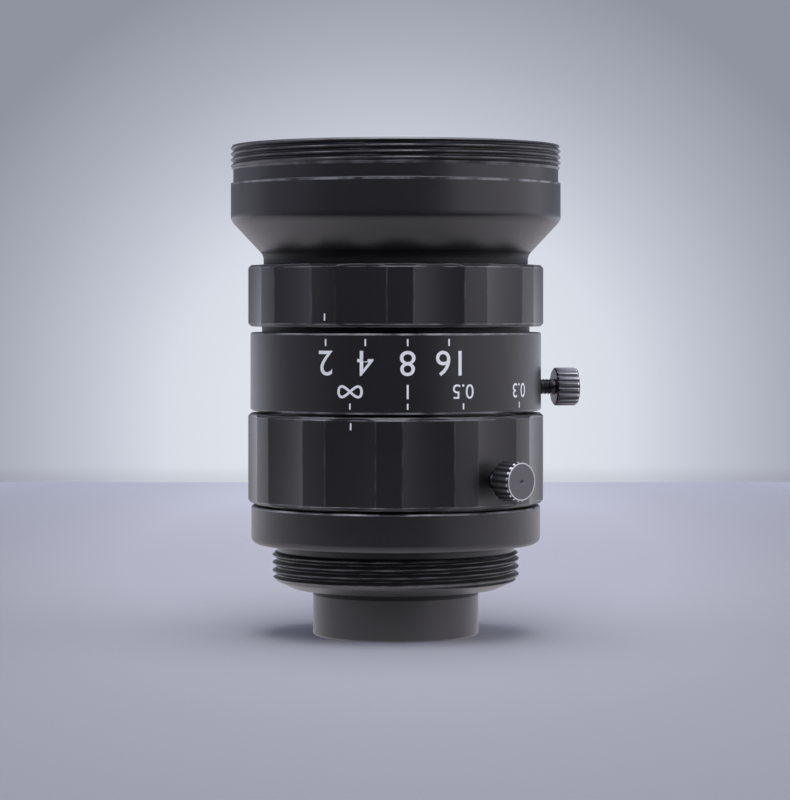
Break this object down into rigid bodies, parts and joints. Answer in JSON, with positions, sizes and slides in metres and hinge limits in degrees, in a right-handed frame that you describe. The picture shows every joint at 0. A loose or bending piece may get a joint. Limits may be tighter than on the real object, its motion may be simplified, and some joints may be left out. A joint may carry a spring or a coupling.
{
  "type": "c-mount machine vision lens",
  "caption": "Fixed focal length lens with a C-mount thread, fluted focus and iris rings with thumbscrew locks, a flared front barrel and a working iris.",
  "frame": {"origin": "centre of the rear barrel's rim, on the optical axis; the lens stands on this rim", "axes": "+Z along the optical axis towards the front glass; the lock screws stand out towards +X; the picture looks from 26.5 degrees, counted from -Y towards +X"},
  "size_m": [0.0351, 0.0346, 0.0503],
  "materials": {
    "black_anodised": "satin black anodised, fine turned",
    "matt_black": "matt black anodised",
    "black_steel": "blackened steel",
    "bright_steel": "ground steel pin",
    "nylon": "natural nylon",
    "coated_glass": "polished, with an antireflection coating"
  },
  "bodies": {
    "mount": {"mount_body": "black_anodised", "rear_barrel": "black_anodised", "focus_ring_retainer": "matt_black"},
    "focus_ring": {"focus_ring": "black_anodised"},
    "focus_lock_tip": {"focus_lock_tip": "nylon"},
    "focus_lock_screw": {"focus_lock_screw": "black_steel"},
    "head": {"main_barrel": "black_anodised", "focus_follower_pin": "bright_steel", "front_barrel": "black_anodised", "front_retaining_ring": "matt_black", "front_meniscus": "coated_glass", "front_spacer": "matt_black", "second_meniscus": "coated_glass", "third_positive": "coated_glass", "front_group_ring": "matt_black", "iris_base_plate": "matt_black", "rear_cell": "matt_black", "rear_positive": "coated_glass", "rear_spacer": "matt_black", "doublet_flint": "coated_glass", "doublet_crown": "coated_glass", "rear_group_ring": "matt_black", "rear_element": "coated_glass", "rear_retaining_ring": "matt_black"},
    "iris_ring": {"iris_ring": "black_anodised", "iris_rotor": "matt_black", "iris_drive_pin": "bright_steel"},
    "iris_blade_1": {"iris_blade_1": "black_steel"},
    "iris_blade_2": {"iris_blade_2": "black_steel"},
    "iris_blade_3": {"iris_blade_3": "black_steel"},
    "iris_blade_4": {"iris_blade_4": "black_steel"},
    "iris_blade_5": {"iris_blade_5": "black_steel"},
    "iris_blade_6": {"iris_blade_6": "black_steel"},
    "iris_lock_tip": {"iris_lock_tip": "nylon"},
    "iris_lock_screw": {"iris_lock_screw": "black_steel"}
  },
  "joints": [
    {"name": "focus_turn", "type": "hinge", "parent": "mount", "child": "focus_ring", "pos_m": [0, 0, 0.0182], "axis": [0, 0, 1], "range_deg": [0, 240]},
    {"name": "head_slide", "type": "slide", "parent": "mount", "child": "head", "axis": [0, 0, 1], "range_m": [0, 0.0007]},
    {"name": "iris_turn", "type": "hinge", "parent": "head", "child": "iris_ring", "pos_m": [0, 0, 0.0349], "axis": [0, 0, 1], "range_deg": [0, 48]},
    {"name": "blade_1_turn", "type": "hinge", "parent": "head", "child": "iris_blade_1", "pos_m": [0.00287, -0.00789, 0.0334], "axis": [0, 0, 1], "range_deg": [0, 25]},
    {"name": "blade_2_turn", "type": "hinge", "parent": "head", "child": "iris_blade_2", "pos_m": [0.00827, -0.00146, 0.0334], "axis": [0, 0, 1], "range_deg": [0, 25]},
    {"name": "blade_3_turn", "type": "hinge", "parent": "head", "child": "iris_blade_3", "pos_m": [0.0054, 0.00643, 0.0334], "axis": [0, 0, 1], "range_deg": [0, 25]},
    {"name": "blade_4_turn", "type": "hinge", "parent": "head", "child": "iris_blade_4", "pos_m": [-0.00287, 0.00789, 0.0334], "axis": [0, 0, 1], "range_deg": [0, 25]},
    {"name": "blade_5_turn", "type": "hinge", "parent": "head", "child": "iris_blade_5", "pos_m": [-0.00827, 0.00146, 0.0334], "axis": [0, 0, 1], "range_deg": [0, 25]},
    {"name": "blade_6_turn", "type": "hinge", "parent": "head", "child": "iris_blade_6", "pos_m": [-0.0054, -0.00643, 0.0334], "axis": [0, 0, 1], "range_deg": [0, 25]},
    {"name": "focus_lock_travel", "type": "slide", "parent": "focus_ring", "child": "focus_lock_tip", "axis": [0.9336, -0.3584, 0], "range_m": [-0.00033, 0.0007]},
    {"name": "focus_lock_turn", "type": "hinge", "parent": "focus_lock_tip", "child": "focus_lock_screw", "pos_m": [0.0146, -0.0056, 0.01646], "axis": [0.9336, -0.3584, 0], "range_deg": [-340, 720]},
    {"name": "iris_lock_travel", "type": "slide", "parent": "head", "child": "iris_lock_tip", "axis": [0.7986, 0.6018, 0], "range_m": [-0.00033, 0.0007]},
    {"name": "iris_lock_turn", "type": "hinge", "parent": "iris_lock_tip", "child": "iris_lock_screw", "pos_m": [0.01294, 0.00975, 0.0254], "axis": [0.7986, 0.6018, 0], "range_deg": [-340, 720]}
  ],
  "couplings": [
    {"joint": "focus_turn", "follows": "head_slide", "rad_per_m": 5983.9},
    {"joint": "blade_1_turn", "follows": "iris_turn", "ratio": 0.5208},
    {"joint": "blade_2_turn", "follows": "iris_turn", "ratio": 0.5208},
    {"joint": "blade_3_turn", "follows": "iris_turn", "ratio": 0.5208},
    {"joint": "blade_4_turn", "follows": "iris_turn", "ratio": 0.5208},
    {"joint": "blade_5_turn", "follows": "iris_turn", "ratio": 0.5208},
    {"joint": "blade_6_turn", "follows": "iris_turn", "ratio": 0.5208},
    {"joint": "focus_lock_turn", "follows": "focus_lock_travel", "rad_per_m": 17952},
    {"joint": "iris_lock_turn", "follows": "iris_lock_travel", "rad_per_m": 17952}
  ]
}
